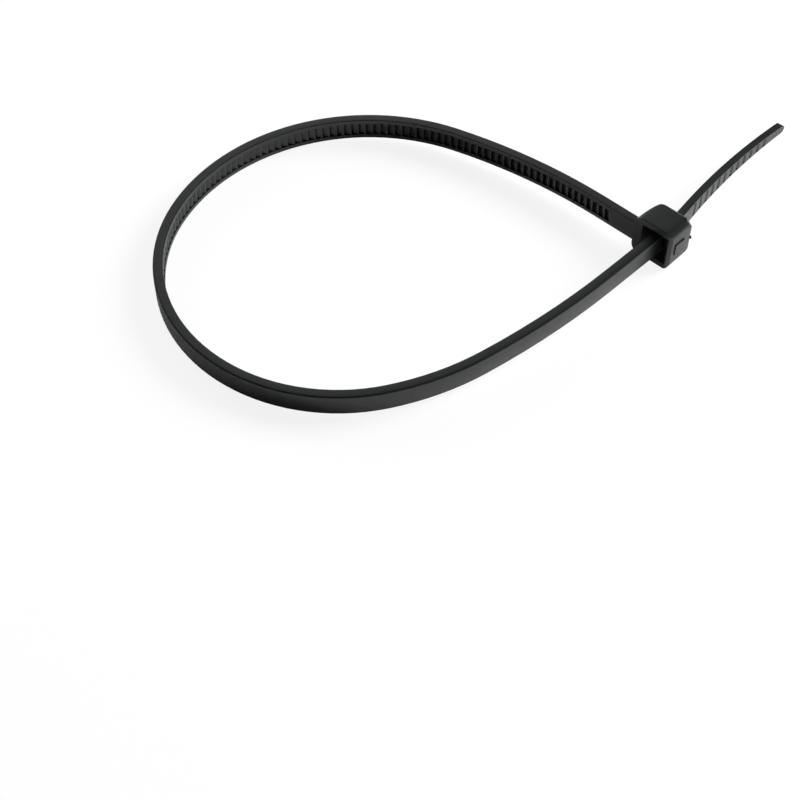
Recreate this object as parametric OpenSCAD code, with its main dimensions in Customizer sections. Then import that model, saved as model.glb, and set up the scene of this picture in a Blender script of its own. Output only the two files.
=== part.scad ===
// Nylon cable tie, pulled into a loop and closed.
// One moulding: strap with an inner rack, head with slot and pawl, and a ribbed tail.
// The loop lies in the XY plane, centred on z = 0. The round end is centred on the origin,
// and +X points from there to the head.

/* [Strap] */
// Width of the strap, along Z
strap_w = 2.5; // [2:0.1:3]
// Thickness of the strap from its smooth outer face to its rails
strap_t = 1.05; // [0.9:0.05:1.1]
// Radius of the two outer long edges
outer_edge_r = 0.2; // [0.1:0.05:0.35]
// Radius of the two inner long edges
inner_edge_r = 0.1; // [0.05:0.05:0.15]
// Width of each smooth rail beside the teeth
rail_w = 0.5; // [0.3:0.05:0.6]

/* [Rack] */
// Distance from tooth to tooth along the strap
tooth_pitch = 0.82; // [0.7:0.02:1]
// Height of a tooth
tooth_h = 0.3; // [0.2:0.02:0.34]
// Flat land on the crest of a tooth
tooth_land = 0.12; // [0.06:0.02:0.2]
// Depth of the crests below the rails
crest_recess = 0.04; // [0.02:0.01:0.08]
// Smooth stretch between the head and the first tooth
rack_start = 2.9; // [1.5:0.1:4]

/* [Loop] */
// Radius of the round end, to the inner face, which is the bundle that it clamps
bundle_r = 18.15; // [17.5:0.1:24]
// Radius of the long side next to the strap's root, to the inner face
root_side_r = 60.9; // [50:0.1:70]
// Turn of that side in degrees
root_side_angle = 17.2; // [14:0.1:19]
// Radius between that side and the round end, to the inner face
root_shoulder_r = 20.85; // [20:0.05:26]
// Turn of that shoulder in degrees
root_shoulder_angle = 95.75; // [88:0.05:105]
// Radius between the round end and the side next to the slot, to the inner face
slot_shoulder_r = 28.9; // [26:0.1:34]
// Turn of that shoulder in degrees
slot_shoulder_angle = 20; // [14:0.5:26]
// Radius of the long side next to the slot, to the inner face
slot_side_r = 92.6; // [80:0.1:110]
// Turn of that side in degrees
slot_side_angle = 10.35; // [8:0.05:12]
// Angle by which the strap misses the square when it reaches the slot
slot_lean = 1.7; // [0:0.1:2.4]

/* [Head] */
// Length of the head along the root of the strap, from where the strap begins
head_len = 4.9; // [4.6:0.05:6]
// Distance from there to the head's root side
root_face_x = 0.15; // [0:0.05:0.4]
// Width of the head, along Z
head_w = 5; // [4.8:0.1:6]
// Depth of the head from its entry face to its exit face
head_depth = 3.7; // [3.4:0.05:4.4]
// Height of the entry face above the strap's rails
entry_lip = 0.12; // [0.02:0.01:0.2]
// Radius of the two edges between the end face and the head's sides
end_edge_r = 0.85; // [0.3:0.05:0.9]
// Radius of the two edges between the root side and the head's sides
root_edge_r = 1.05; // [0.5:0.05:1.2]
// Radius of the edge between the root side and the exit face
back_edge_r = 1.7; // [0.6:0.1:1.8]
// Radius of the edge between the end and the exit face
exit_edge_r = 0.35; // [0.2:0.05:0.6]
// Radius of the edges between the sides and the exit face
exit_side_r = 0.8; // [0.3:0.05:0.9]
// Radius of the two exit corners at the end, seen along their diagonal
exit_corner_r = 0.95; // [0.4:0.05:1.2]
// Radius of the edges between the sides and the entry face
entry_edge_r = 0.12; // [0.06:0.02:0.3]
// Radius of the edge between the end and the entry face
entry_end_r = 0.4; // [0.1:0.05:0.5]
// Slope of the root side, as its run over the depth of the head
root_slope = 0.95; // [0.3:0.05:1]
// Height of the raised panel on the end face
panel_h = 0.12; // [0.06:0.02:0.2]
// Length of the panel, along the slot
panel_len = 1.5; // [1:0.1:2]
// Width of the panel, along Z
panel_w = 1.3; // [0.8:0.1:1.8]
// Distance from the entry face to the panel
panel_from_entry = 0.85; // [0.5:0.05:1.2]
// Radius of the mark that the mould's gate leaves on the edge between the end and the exit face
gate_r = 0.17; // [0.1:0.01:0.24]
// Height of the gate's mark over that edge
gate_h = 0.15; // [0.05:0.01:0.25]
// Distance of the gate's mark below the middle of the head
gate_drop = 0.2; // [0:0.1:1.2]

/* [Slot and pawl] */
// Distance from where the strap begins to the middle of the slot
slot_x = 2.85; // [2.8:0.05:2.95]
// Clearance round the strap in the slot
slot_gap = 0.13; // [0.08:0.01:0.18]
// Depth of the flared mouth of the slot
mouth_depth = 1; // [0.6:0.1:1.2]
// Flare of the mouth on the side of the pawl
mouth_flare = 1.02; // [0.5:0.02:1.1]
// Flare of the mouth on the side of the end face
mouth_far_flare = 1; // [0.2:0.05:1]
// Flare of the mouth on its two other sides
mouth_side_flare = 0.42; // [0.1:0.02:0.42]
// Length of the pawl from its hinge to its free end
pawl_len = 2; // [1.8:0.05:2.1]
// Thickness of the pawl behind its teeth
pawl_t = 0.62; // [0.4:0.02:0.66]
// Clearance between the pawl's teeth and the rack
mesh_gap = 0.05; // [0.03:0.01:0.08]
// Clearance between the pawl and the walls beside and behind it
pawl_gap = 0.12; // [0.08:0.01:0.2]
// Number of teeth on the pawl
pawl_teeth = 2; // [1:1:2]

/* [Tail] */
// Radius of the strap's bend through the slot, to its middle
slot_bend_r = 34.6; // [30:0.2:60]
// Turn of that bend in degrees
slot_bend_angle = 9.6; // [6:0.2:11]
// Radius of the tail's return bend, to its middle
tail_r = 87; // [60:1:160]
// Length of the tail past the bend
tail_len = 18.4; // [12:0.2:30]
// Thickness of the tail where it leaves the strap
tail_root_t = 0.86; // [0.6:0.02:0.86]
// Thickness of the tail at its tip
tail_tip_t = 0.74; // [0.4:0.02:0.8]
// Width of the tail where it leaves the strap
tail_root_w = 2.3; // [1.9:0.1:2.4]
// Width of the tail at its tip
tail_tip_w = 1.05; // [1:0.05:1.8]
// Distance from groove to groove between the grip ribs of the tail
groove_pitch = 1.24; // [1:0.02:1.6]
// Width of a groove
groove_w = 0.5; // [0.3:0.05:0.7]
// Depth of a groove
groove_depth = 0.12; // [0.05:0.01:0.16]
// Smooth margin between the end of a groove and the edge of the tail
groove_margin = 0.14; // [0.05:0.01:0.3]
// Distance inside the exit face at which the strap turns into the tail
tail_root_inset = 0.15; // [0.1:0.05:0.4]
// Distance from the end of the slot's bend to the first groove
groove_start = 1.3; // [0.4:0.1:3]
// Smooth stretch at the tip
groove_end = 3; // [2:0.1:6]

/* [Hidden] */
// Facets of a full circle
$fn = 256;
nylon = [0.13, 0.14, 0.135];
// The strap leaves the head along 135 degrees, so that the head's axes are at 45 degrees to X
root_heading = 135;
loop_turn = 270 - slot_lean;
half_t = strap_t / 2;
rack_w = strap_w - 2 * rail_w;
bundle_turn = loop_turn - root_side_angle - root_shoulder_angle - slot_shoulder_angle - slot_side_angle;
// The strap's root runs this far into the head, and each stretch this far into the next
root_sink = 0.5;
lap = 0.03;
// Every other stretch is this much fuller, so that neighbours meet in one clear edge. The round end isn't.
lap_step = 0.004;
// The tail begins this far back inside the strap
tail_sink = 0.1;
// A cut runs this far past the face that it opens
past = 0.5;
// Steps of the arcs in the outlines, in degrees, and of the tail's outline, in millimetres
arc_step = 15;
tail_step = 0.6;

entry_y = -half_t - entry_lip;
exit_y = entry_y + head_depth;
slot_half_x = half_t + slot_gap;
slot_half_z = strap_w / 2 + slot_gap;

// Each stretch of the loop is [radius of its middle line, turn]
loop_arcs = [
    [root_side_r + half_t, root_side_angle],
    [root_shoulder_r + half_t, root_shoulder_angle],
    [bundle_r + half_t, bundle_turn],
    [slot_shoulder_r + half_t, slot_shoulder_angle],
    [slot_side_r + half_t, slot_side_angle]
];
bundle_stretch = 3;

// Offset from the start to the end of an arc that begins on this heading
function arc_chord(heading, r, turn) =
    r * [sin(heading + turn) - sin(heading), cos(heading) - cos(heading + turn)];
function turned(i) = i == 0 ? 0 : turned(i - 1) + loop_arcs[i - 1][1];
function arc_sum(i, heading) =
    i == 0 ? [0, 0]
    : arc_sum(i - 1, heading)
        + arc_chord(heading + turned(i - 1), loop_arcs[i - 1][0], loop_arcs[i - 1][1]);

// The two straights take up what the arcs leave between the root and the mouth of the slot.
// These are in the head's own frame, where the root leaves along 180 degrees.
arcs_reach = arc_sum(len(loop_arcs), 180);
slot_straight = (entry_y - arcs_reach[1]) / cos(slot_lean);
root_straight = arcs_reach[0] + slot_straight * sin(slot_lean) - slot_x;

// The route of the strap's middle line: each stretch is [length, turn]
function arc_len(r, turn) = r * turn * PI / 180;
slot_bend_len = arc_len(slot_bend_r, slot_bend_angle);
route = concat(
    [[root_straight, 0]],
    [for (a = loop_arcs) [arc_len(a[0], a[1]), a[1]]],
    [[slot_straight, 0], [slot_bend_len, slot_bend_angle], [tail_len, -tail_len * 180 / (PI * tail_r)]]
);
slot_bend_stretch = len(loop_arcs) + 2;

function moved(p, heading, length, turn) =
    turn == 0 ? p + length * [cos(heading), sin(heading)]
    : p + arc_chord(heading, length * 180 / (PI * turn), turn);
function left_of(heading) = [-sin(heading), cos(heading)];

// Stations where the stretches begin: [distance along the strap, point, heading]
function stations(first) = [
    for (i = 0, s = 0, p = first, h = root_heading;
         i <= len(route);
         p = i < len(route) ? moved(p, h, route[i][0], route[i][1]) : p,
         s = i < len(route) ? s + route[i][0] : s,
         h = i < len(route) ? h + route[i][1] : h,
         i = i + 1)
        [s, p, h]
];
loose = stations([0, 0]);
bundle_centre = loose[bundle_stretch][1]
    + (bundle_r + half_t) * left_of(loose[bundle_stretch][2]);
root_at = -bundle_centre;
station = stations(root_at);

function stretch_at(s) = max([for (i = [0:len(route) - 1]) if (i == 0 || station[i][0] <= s) i]);
// The point beside the middle line at this distance along the strap, on the smooth side if offset > 0
function beside(s, offset) =
    let (
        i = stretch_at(s),
        run = s - station[i][0],
        turn = route[i][1] * run / route[i][0],
        heading = station[i][2] + turn
    )
    moved(station[i][1], station[i][2], run, turn) - offset * left_of(heading);

// The rack runs from the smooth stretch at the head until the strap has passed the pawl
slot_entry_s = station[slot_bend_stretch][0];
strap_end_s = slot_entry_s + head_depth - tail_root_inset;
tail_start_s = strap_end_s - tail_sink;
tooth_count = floor((strap_end_s - rack_start) / tooth_pitch);
crest_at = -(half_t - crest_recess);
valley_at = crest_at + tooth_h;
tail_tip_s = station[len(route)][0];

function arc_points(centre, r, from, to) =
    let (n = max(1, ceil(abs(to - from) / arc_step)))
    [for (k = [0:n]) centre + r * [cos(from + (to - from) * k / n), sin(from + (to - from) * k / n)]];

// Section of the strap: X points to the smooth side, Y is along the width
module section(fuller) {
    x_out = half_t + fuller / 2;
    z_out = strap_w / 2 + fuller / 2;
    co = [x_out - outer_edge_r, z_out - outer_edge_r];
    ci = [-x_out + inner_edge_r, z_out - inner_edge_r];
    polygon(concat(
        arc_points([co[0], -co[1]], outer_edge_r, -90, 0),
        arc_points(co, outer_edge_r, 0, 90),
        arc_points(ci, inner_edge_r, 90, 180),
        arc_points([ci[0], -ci[1]], inner_edge_r, 180, 270)
    ));
}

// One stretch of the strap, from its station on, with the given length and turn
module stretch(i, length, turn) {
    fuller = (i + 1) % 2 * lap_step;
    p = station[i][1];
    heading = station[i][2];
    if (turn == 0) {
        end = moved(p, heading, length, 0);
        translate([end[0], end[1], 0])
            rotate([90, 0, heading - 90])
                linear_extrude(length)
                    section(fuller);
    } else {
        r = length * 180 / (PI * turn);
        centre = p + r * left_of(heading);
        translate([centre[0], centre[1], 0])
            rotate_extrude(angle = turn, start = heading - 90)
                translate([r, 0])
                    section(fuller);
    }
}

module strap_band() {
    // The root, which begins inside the head
    root_end = moved(root_at, root_heading, lap, 0);
    translate([root_end[0], root_end[1], 0])
        rotate([90, 0, root_heading - 90])
            linear_extrude(root_sink + lap)
                section(0);
    for (i = [0:slot_bend_stretch - 1]) {
        length = route[i][0];
        grown = length + lap;
        stretch(i, grown, route[i][1] * grown / length);
    }
    slot_run = strap_end_s - slot_entry_s;
    stretch(slot_bend_stretch, slot_run, slot_bend_angle * slot_run / slot_bend_len);
}

function tooth_s(i) = rack_start + i * tooth_pitch;

// The room between and above the teeth: the steep side of each tooth faces the root
module rack_room() {
    crests = [
        for (i = [0:tooth_count - 1])
            each [
                beside(tooth_s(i), crest_at),
                beside(tooth_s(i) + tooth_land, crest_at),
                beside(tooth_s(i + 1), valley_at)
            ]
    ];
    back = [for (i = [tooth_count:-1:0]) beside(tooth_s(i), -half_t - past)];
    translate([0, 0, -rack_w / 2])
        linear_extrude(rack_w)
            polygon(concat(crests, back));
}

module strap() {
    difference() {
        strap_band();
        rack_room();
    }
}

// Everything in the head's frame: X into the head from its root side, Y along the slot to the exit
module in_head() {
    translate([root_at[0], root_at[1], 0])
        rotate(root_heading - 180)
            children();
}

// Outline of the head across the slot, in X and Z
module head_outline_xz() {
    far = [head_len - end_edge_r, head_w / 2 - end_edge_r];
    near = [root_face_x + root_edge_r, head_w / 2 - root_edge_r];
    polygon(concat(
        arc_points([far[0], -far[1]], end_edge_r, -90, 0),
        arc_points(far, end_edge_r, 0, 90),
        arc_points(near, root_edge_r, 90, 180),
        arc_points([near[0], -near[1]], root_edge_r, 180, 270)
    ));
}

// Outline of the head along the slot, in X and Y
module head_outline_xy() {
    lean = atan(root_slope / head_depth);
    // The round between the sloping root side and the exit face
    back_x = root_face_x + root_slope * (1 - back_edge_r / head_depth) + back_edge_r / cos(lean);
    polygon(concat(
        [[root_face_x, entry_y]],
        arc_points([head_len - entry_end_r, entry_y + entry_end_r], entry_end_r, -90, 0),
        [[head_len + past, entry_y + entry_end_r], [head_len + past, exit_y - exit_edge_r]],
        arc_points([head_len - exit_edge_r, exit_y - exit_edge_r], exit_edge_r, 0, 90),
        arc_points([back_x, exit_y - back_edge_r], back_edge_r, 90, 180 - lean)
    ));
}

// Outline of the head along the slot, in Y and Z
module head_outline_yz() {
    half_w = head_w / 2;
    z = half_w - exit_side_r;
    y = exit_y - exit_side_r;
    entry_z = half_w - entry_edge_r;
    start_y = entry_y + entry_edge_r;
    polygon(concat(
        [[start_y, -half_w - past], [y, -half_w - past]],
        arc_points([y, -z], exit_side_r, -90, 0),
        arc_points([y, z], exit_side_r, 0, 90),
        [[y, half_w + past], [start_y, half_w + past]],
        arc_points([start_y, entry_z], entry_edge_r, 90, 180),
        arc_points([start_y, -entry_z], entry_edge_r, 180, 270)
    ));
}

// Outline of the head along the slot, seen along the diagonal of its end corners
module corner_outline() {
    reach = (head_len + head_w / 2 - 2 * end_edge_r) / sqrt(2) + end_edge_r;
    polygon(concat(
        [[-head_w, entry_y - past], [reach + past, entry_y - past]],
        [[reach + past, exit_y - exit_corner_r]],
        arc_points([reach - exit_corner_r, exit_y - exit_corner_r], exit_corner_r, 0, 90),
        [[reach - exit_corner_r, exit_y + past], [-head_w, exit_y + past]]
    ));
}

module head_block() {
    intersection() {
        translate([0, exit_y + past, 0])
            rotate([90, 0, 0])
                linear_extrude(head_depth + 2 * past)
                    head_outline_xz();
        translate([0, 0, -head_w / 2 - past])
            linear_extrude(head_w + 2 * past)
                head_outline_xy();
        translate([-past, 0, 0])
            rotate([90, 0, 90])
                linear_extrude(head_len + 2 * past)
                    head_outline_yz();
        intersection_for(side = [-1, 1])
            rotate([0, side * 45, 0])
                translate([0, 0, -head_len - head_w])
                    linear_extrude(2 * (head_len + head_w))
                        corner_outline();
    }
}

// Outline that narrows from the entry face, where it reaches from low to high, to the slot
module funnel_outline(low, high, slot_low, slot_high) {
    polygon([
        [low, entry_y],
        [low, entry_y - past],
        [high, entry_y - past],
        [high, entry_y],
        [slot_high, entry_y + mouth_depth],
        [slot_low, entry_y + mouth_depth]
    ]);
}

module slot_room() {
    low_x = slot_x - slot_half_x;
    high_x = slot_x + slot_half_x;
    mouth_z = slot_half_z + mouth_side_flare;
    translate([low_x, entry_y - past, -slot_half_z])
        cube([2 * slot_half_x, head_depth + 2 * past, 2 * slot_half_z]);
    // The flared mouth, which ends inside the slot so that the two rooms meet in clear edges
    intersection() {
        translate([0, 0, -head_w / 2])
            linear_extrude(head_w)
                funnel_outline(
                    low_x - mouth_flare, high_x + mouth_far_flare,
                    low_x + slot_gap, high_x - slot_gap
                );
        rotate([90, 0, 90])
            linear_extrude(head_len)
                mirror([1, -1])
                    funnel_outline(
                        -mouth_z, mouth_z,
                        -slot_half_z + slot_gap, slot_half_z - slot_gap
                    );
    }
}

// The pawl's hinge lies at this height over the entry face, and its teeth mesh with the rack there
hinge_y = exit_y - pawl_gap - pawl_len;
pawl_w = rack_w - 2 * pawl_gap;
pawl_back_x = slot_x - half_t - pawl_t - mesh_gap;
mesh_top_s = slot_entry_s + hinge_y - entry_y + pawl_len;
last_tooth = floor((min(mesh_top_s, tail_start_s) - rack_start) / tooth_pitch);

module pawl_room() {
    low_x = pawl_back_x - 2 * pawl_gap;
    half_z = pawl_w / 2 + pawl_gap;
    translate([low_x, hinge_y, -half_z])
        cube([slot_x - low_x, exit_y - hinge_y + past, 2 * half_z]);
}

function to_head(p) =
    let (q = p - root_at, a = 180 - root_heading)
    [q[0] * cos(a) - q[1] * sin(a), q[0] * sin(a) + q[1] * cos(a)];

// The pawl's teeth fill the rack's valleys, with their steep side towards the exit
module pawl() {
    face_x = slot_x - half_t - mesh_gap;
    teeth = [
        for (i = [last_tooth - pawl_teeth + 1:last_tooth])
            each [
                to_head(beside(tooth_s(i - 1) + tooth_land, crest_at - mesh_gap)),
                to_head(beside(tooth_s(i) - mesh_gap, valley_at - mesh_gap)),
                to_head(beside(tooth_s(i) - mesh_gap, crest_at - mesh_gap))
            ]
    ];
    top = teeth[len(teeth) - 1];
    translate([0, 0, -pawl_w / 2])
        linear_extrude(pawl_w)
            polygon(concat(
                [[pawl_back_x, hinge_y - past / 2], [face_x, hinge_y - past / 2]],
                teeth,
                [[pawl_back_x + pawl_t / 2, top[1] + mesh_gap], [pawl_back_x, top[1] - pawl_t]]
            ));
}

module end_panel() {
    translate([head_len - panel_h, entry_y + panel_from_entry, -panel_w / 2])
        cube([2 * panel_h, panel_len, panel_w]);
}

// The gate's mark stands on the round edge between the end and the exit face
module gate_mark() {
    translate([head_len - exit_edge_r, exit_y - exit_edge_r, -gate_drop])
        rotate([0, 90, 45])
            cylinder(h = exit_edge_r + gate_h, r = gate_r);
}

module head() {
    in_head() {
        difference() {
            head_block();
            slot_room();
            pawl_room();
        }
        pawl();
        end_panel();
        gate_mark();
    }
}

// The tail: two faces that close in on each other, with grooves across the smooth one
function tail_share(s) = (s - strap_end_s) / (tail_tip_s - strap_end_s);
function tail_half_t(s) = (tail_root_t + (tail_tip_t - tail_root_t) * tail_share(s)) / 2;
function tail_half_w(s) = (tail_root_w + (tail_tip_w - tail_root_w) * tail_share(s)) / 2;
first_groove_s = station[slot_bend_stretch + 1][0] + groove_start;
last_groove_s = tail_tip_s - groove_end;

module tail_outline() {
    inner = [for (s = [tail_start_s:tail_step:tail_tip_s]) beside(s, -tail_half_t(s))];
    outer = [for (s = [tail_start_s:tail_step:tail_tip_s]) beside(s, tail_half_t(s))];
    tip_s = tail_tip_s + past;
    polygon(concat(
        inner,
        [beside(tip_s, -tail_tip_t / 2), beside(tip_s, tail_tip_t / 2)],
        [for (i = [len(outer) - 1:-1:0]) outer[i]]
    ));
}

module grooves() {
    for (s = [first_groove_s:groove_pitch:last_groove_s]) {
        floor_at = tail_half_t(s) - groove_depth;
        open_at = tail_half_t(s) + groove_depth;
        half_w = tail_half_w(s) - groove_margin;
        translate([0, 0, -half_w])
            linear_extrude(2 * half_w)
                polygon([beside(s, floor_at), beside(s + groove_w, open_at), beside(s - groove_w, open_at)]);
    }
}

// The tail from the side: it narrows to a half-round tip
module tail_side_outline(length) {
    r = tail_tip_w / 2;
    polygon(concat(
        [[0, -tail_root_w / 2]],
        arc_points([length - r, 0], r, -90, 90),
        [[0, tail_root_w / 2]]
    ));
}

module tail() {
    from = beside(tail_start_s, 0);
    to = beside(tail_tip_s, 0);
    reach = to - from;
    chord = norm(reach);
    difference() {
        intersection() {
            translate([0, 0, -strap_w])
                linear_extrude(2 * strap_w)
                    tail_outline();
            translate([from[0], from[1], 0])
                rotate([90, 0, atan2(reach[1], reach[0])])
                    translate([-lap, 0, -chord / 2])
                        linear_extrude(chord)
                            tail_side_outline(chord + lap);
        }
        grooves();
    }
}

module cable_tie() {
    color(nylon) {
        strap();
        head();
        tail();
    }
}

cable_tie();
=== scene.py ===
import math
import bpy
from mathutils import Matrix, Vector


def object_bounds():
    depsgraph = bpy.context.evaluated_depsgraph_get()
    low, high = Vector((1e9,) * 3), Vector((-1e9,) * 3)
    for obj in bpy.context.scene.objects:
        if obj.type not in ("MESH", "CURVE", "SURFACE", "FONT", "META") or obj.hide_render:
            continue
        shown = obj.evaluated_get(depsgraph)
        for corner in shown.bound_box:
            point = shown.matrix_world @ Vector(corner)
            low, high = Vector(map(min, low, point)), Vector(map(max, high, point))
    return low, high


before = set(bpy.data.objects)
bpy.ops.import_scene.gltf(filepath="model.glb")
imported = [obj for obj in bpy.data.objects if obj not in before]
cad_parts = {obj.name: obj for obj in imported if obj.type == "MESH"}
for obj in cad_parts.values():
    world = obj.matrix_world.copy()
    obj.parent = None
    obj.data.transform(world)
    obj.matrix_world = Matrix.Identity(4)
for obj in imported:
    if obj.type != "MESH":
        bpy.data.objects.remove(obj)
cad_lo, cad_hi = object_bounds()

# Lengths are in metres, angles in radians and colours in linear light
MM = 0.001

# Camera: where it stands and what it looks at, in the part's own frame
EYE = Vector((2.4724, -114.1098, 118.4465)) * MM
LOOK_AT = Vector((5.3596, -18.6271, 0.0299)) * MM
LENS_MM = 71.99
SENSOR_MM = 36.0
CLIP_START = 0.005
CLIP_END = 20.0

# Floor: it touches the head's underside and the lower edge of the loop's round end
HEAD_UNDERSIDE = Vector((31.5, 0.0, -2.5)) * MM
ROUND_END_EDGE = Vector((-18.9, 0.0, -1.25)) * MM
FLOOR_SIZE = 12.0
FLOOR_COLOUR = (0.9, 0.9, 0.9, 1.0)
# The share of the floor that the camera sees as plain white, the rest being light and shadow.
# It grows between two distances from the part
WHITE_NEAR = 0.87
WHITE_FAR = 1.0
FADE_START = 0.15
FADE_END = 0.6
# The same share in reflections
WHITE_MIRRORED = 0.04

# Lamps: direction towards the lamp, size, power, and whether the nylon mirrors it. Two of them
# light the floor, which the side faces mirror, and leave no glare of their own
LAMPS = {
    "key": ((0.803, 0.324, 0.500), 0.34, 7.4, False),
    "back": ((-0.137, 0.776, 0.616), 0.5, 0.42, True),
    "left": ((-0.604, 0.720, 0.342), 0.3, 2.4, False),
}
LAMP_DISTANCE = 0.6
SKY_STRENGTH = 0.01
WHITE = (1.0, 1.0, 1.0, 1.0)

# Shading of the part's mesh: vertices closer than the strap's tiny steps join, and an edge
# that turns by more than this is sharp
JOIN_DISTANCE = 0.006 * MM
SHARP_ANGLE = math.radians(19)

# Nylon: two near-black tones, which mottle into each other, and a roughness that varies
NYLON_DARK = (0.009, 0.0105, 0.010, 1.0)
NYLON_LIGHT = (0.0155, 0.018, 0.017, 1.0)
MOTTLE_SIZE = 3.0 * MM
ROUGHNESS_LOW = 0.33
ROUGHNESS_HIGH = 0.45
SMEAR_SIZE = 0.9 * MM
NOISE_DETAIL = 3.0
# The mould's wavy faces and fine grain, as the size and the height of the bumps
WAVE_SIZE = 1.6 * MM
WAVE_HEIGHT = 0.004 * MM
GRAIN_SIZE = 0.09 * MM
GRAIN_HEIGHT = 0.0007 * MM
# Softness of every moulded edge
EDGE_RADIUS = 0.05 * MM


def new_material(name):
    """An empty node material: the material, its nodes and its links."""
    material = bpy.data.materials.new(name)
    material.use_nodes = True
    material.node_tree.nodes.clear()
    return material, material.node_tree.nodes, material.node_tree.links


def noise(nodes, links, place, size):
    """A noise pattern over the part's own coordinates, with features of this size."""
    pattern = nodes.new("ShaderNodeTexNoise")
    pattern.inputs["Scale"].default_value = 1.0 / size
    pattern.inputs["Detail"].default_value = NOISE_DETAIL
    links.new(place.outputs["Object"], pattern.inputs["Vector"])
    return pattern.outputs["Fac"]


def bump(nodes, links, height, distance, normal):
    """A bump of this height over another normal."""
    relief = nodes.new("ShaderNodeBump")
    relief.inputs["Distance"].default_value = distance
    links.new(height, relief.inputs["Height"])
    links.new(normal, relief.inputs["Normal"])
    return relief.outputs["Normal"]


def map_range(nodes, links, value, low, high, start=0.0, end=1.0):
    """A value that runs from start to end, mapped to the range from low to high."""
    mapped = nodes.new("ShaderNodeMapRange")
    mapped.inputs["From Min"].default_value = start
    mapped.inputs["From Max"].default_value = end
    mapped.inputs["To Min"].default_value = low
    mapped.inputs["To Max"].default_value = high
    links.new(value, mapped.inputs["Value"])
    return mapped.outputs["Result"]


def maths(nodes, links, operation, first, second):
    """The result of an operation on two values, each of them an output or a number."""
    node = nodes.new("ShaderNodeMath")
    node.operation = operation
    for value, into in zip((first, second), node.inputs):
        if isinstance(value, float):
            into.default_value = value
        else:
            links.new(value, into)
    return node.outputs["Value"]


def blend(nodes, links, share, first, second):
    """The first shader where the share is 0, and the second one where it is 1."""
    mix = nodes.new("ShaderNodeMixShader")
    for source, into in zip((share, first, second), mix.inputs):
        links.new(source, into)
    return mix.outputs["Shader"]


def nylon_material():
    """Moulded black nylon: semi-gloss, with a faint mottle, wavy faces and a fine grain."""
    material, nodes, links = new_material("nylon_black")
    out = nodes.new("ShaderNodeOutputMaterial")
    shader = nodes.new("ShaderNodeBsdfPrincipled")
    links.new(shader.outputs["BSDF"], out.inputs["Surface"])
    place = nodes.new("ShaderNodeTexCoord")

    tone = nodes.new("ShaderNodeMix")
    tone.data_type = "RGBA"
    tone.inputs["A"].default_value = NYLON_DARK
    tone.inputs["B"].default_value = NYLON_LIGHT
    links.new(noise(nodes, links, place, MOTTLE_SIZE), tone.inputs["Factor"])
    links.new(tone.outputs["Result"], shader.inputs["Base Color"])

    smears = noise(nodes, links, place, SMEAR_SIZE)
    gloss = map_range(nodes, links, smears, ROUGHNESS_LOW, ROUGHNESS_HIGH)
    links.new(gloss, shader.inputs["Roughness"])

    edges = nodes.new("ShaderNodeBevel")
    edges.inputs["Radius"].default_value = EDGE_RADIUS
    waves = noise(nodes, links, place, WAVE_SIZE)
    wavy = bump(nodes, links, waves, WAVE_HEIGHT, edges.outputs["Normal"])
    grain = noise(nodes, links, place, GRAIN_SIZE)
    grainy = bump(nodes, links, grain, GRAIN_HEIGHT, wavy)
    links.new(grainy, shader.inputs["Normal"])
    return material


def shading_group():
    """Geometry nodes that join the mesh's vertices and shade it smooth but for its edges."""
    group = bpy.data.node_groups.new("smooth_faces", "GeometryNodeTree")
    for way in ("INPUT", "OUTPUT"):
        group.interface.new_socket("Geometry", in_out=way, socket_type="NodeSocketGeometry")
    nodes, links = group.nodes, group.links
    join = nodes.new("GeometryNodeMergeByDistance")
    join.inputs["Distance"].default_value = JOIN_DISTANCE
    angle = nodes.new("GeometryNodeInputMeshEdgeAngle")
    normal = nodes.new("GeometryNodeSetMeshNormal")
    normal.inputs["Remove Custom"].default_value = True
    normal.inputs["Face Sharpness"].default_value = False
    sharp = maths(nodes, links, "GREATER_THAN", angle.outputs["Unsigned Angle"], SHARP_ANGLE)
    links.new(nodes.new("NodeGroupInput").outputs["Geometry"], join.inputs["Geometry"])
    links.new(join.outputs["Geometry"], normal.inputs["Mesh"])
    links.new(sharp, normal.inputs["Edge Sharpness"])
    links.new(normal.outputs["Mesh"], nodes.new("NodeGroupOutput").inputs["Geometry"])
    return group


def dress_part(node):
    """The part keeps its own mesh, smooth over its curves and crisp at its edges."""
    node.data.materials.clear()
    node.data.materials.append(nylon_material())
    node.modifiers.new("smooth_faces", "NODES").node_group = shading_group()


def white_share(nodes, links):
    """How much of the floor's plain white a ray sees, which the camera sees more of far away."""
    place = nodes.new("ShaderNodeTexCoord")
    reach = nodes.new("ShaderNodeVectorMath")
    reach.operation = "LENGTH"
    links.new(place.outputs["Object"], reach.inputs["Vector"])
    fade = map_range(nodes, links, reach.outputs["Value"], WHITE_NEAR, WHITE_FAR,
                     FADE_START, FADE_END)
    path = nodes.new("ShaderNodeLightPath").outputs
    seen = maths(nodes, links, "MAXIMUM", path["Is Camera Ray"], path["Is Transmission Ray"])
    direct = maths(nodes, links, "MULTIPLY", seen, fade)
    mirrored = maths(nodes, links, "MULTIPLY", path["Is Glossy Ray"], WHITE_MIRRORED)
    return maths(nodes, links, "MAXIMUM", direct, mirrored)


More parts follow.
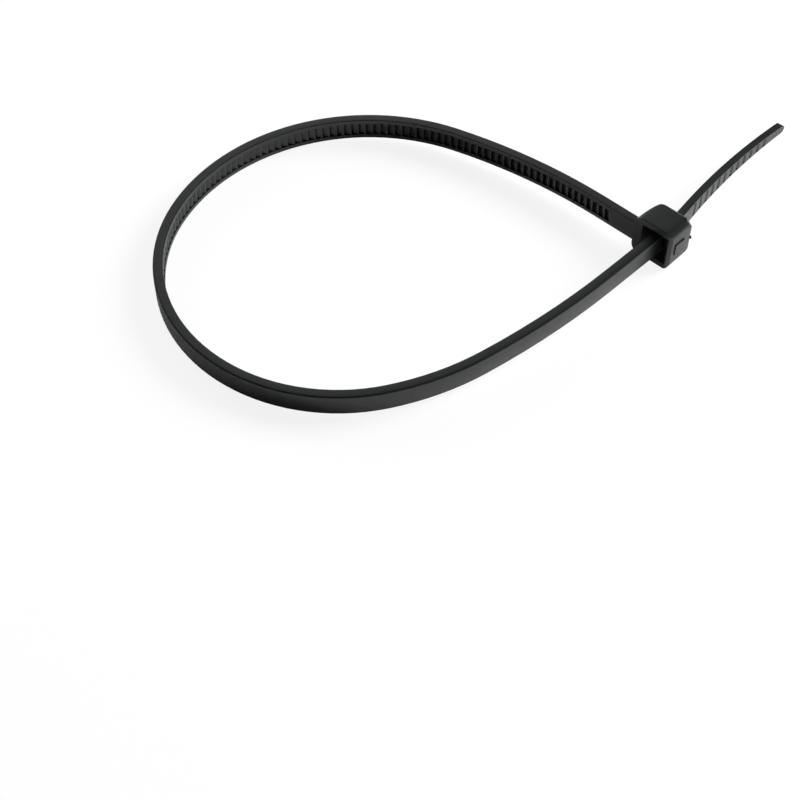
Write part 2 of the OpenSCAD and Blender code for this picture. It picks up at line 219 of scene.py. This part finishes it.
def make_floor():
    """A plain pale floor that keeps the part's shadow."""
    bpy.ops.mesh.primitive_plane_add(size=FLOOR_SIZE)
    floor = bpy.context.object
    floor.name = "floor"
    floor.location = HEAD_UNDERSIDE
    rise = ROUND_END_EDGE - HEAD_UNDERSIDE
    floor.rotation_euler = (0.0, -math.atan(rise.z / rise.x), 0.0)
    material, nodes, links = new_material("floor_white")
    out = nodes.new("ShaderNodeOutputMaterial")
    diffuse = nodes.new("ShaderNodeBsdfDiffuse")
    diffuse.inputs["Color"].default_value = FLOOR_COLOUR
    white = nodes.new("ShaderNodeEmission")
    surface = blend(nodes, links, white_share(nodes, links), diffuse.outputs["BSDF"],
                    white.outputs["Emission"])
    links.new(surface, out.inputs["Surface"])
    floor.data.materials.append(material)


def make_lamps():
    """Soft lamps aimed at the part's middle."""
    centre = (cad_lo + cad_hi) / 2
    for name, (toward, size, power, mirrored) in LAMPS.items():
        light = bpy.data.lights.new(name, "AREA")
        light.shape = "DISK"
        light.size = size
        light.energy = power
        lamp = bpy.data.objects.new(name, light)
        lamp.visible_glossy = mirrored
        bpy.context.scene.collection.objects.link(lamp)
        direction = Vector(toward).normalized()
        lamp.location = centre + direction * LAMP_DISTANCE
        lamp.rotation_mode = "QUATERNION"
        lamp.rotation_quaternion = direction.to_track_quat("Z", "Y")


def make_world():
    """An even, weak sky, which the camera sees as plain white."""
    world = bpy.data.worlds.new("sky")
    world.use_nodes = True
    bpy.context.scene.world = world
    nodes, links = world.node_tree.nodes, world.node_tree.links
    nodes.clear()
    out = nodes.new("ShaderNodeOutputWorld")
    sky = nodes.new("ShaderNodeBackground")
    sky.inputs["Strength"].default_value = SKY_STRENGTH
    white = nodes.new("ShaderNodeBackground")
    white.inputs["Color"].default_value = WHITE
    path = nodes.new("ShaderNodeLightPath").outputs
    surface = blend(nodes, links, path["Is Camera Ray"], sky.outputs["Background"],
                    white.outputs["Background"])
    links.new(surface, out.inputs["Surface"])


def make_camera():
    """The camera at the photograph's place."""
    data = bpy.data.cameras.new("camera")
    data.lens = LENS_MM
    data.sensor_width = SENSOR_MM
    data.clip_start = CLIP_START
    data.clip_end = CLIP_END
    camera = bpy.data.objects.new("camera", data)
    bpy.context.scene.collection.objects.link(camera)
    camera.location = EYE
    camera.rotation_mode = "QUATERNION"
    camera.rotation_quaternion = (LOOK_AT - EYE).to_track_quat("-Z", "Y")
    bpy.context.scene.camera = camera


bpy.context.scene.view_settings.view_transform = "Standard"
dress_part(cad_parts["cable_tie"])
make_floor()
make_lamps()
make_world()
make_camera()
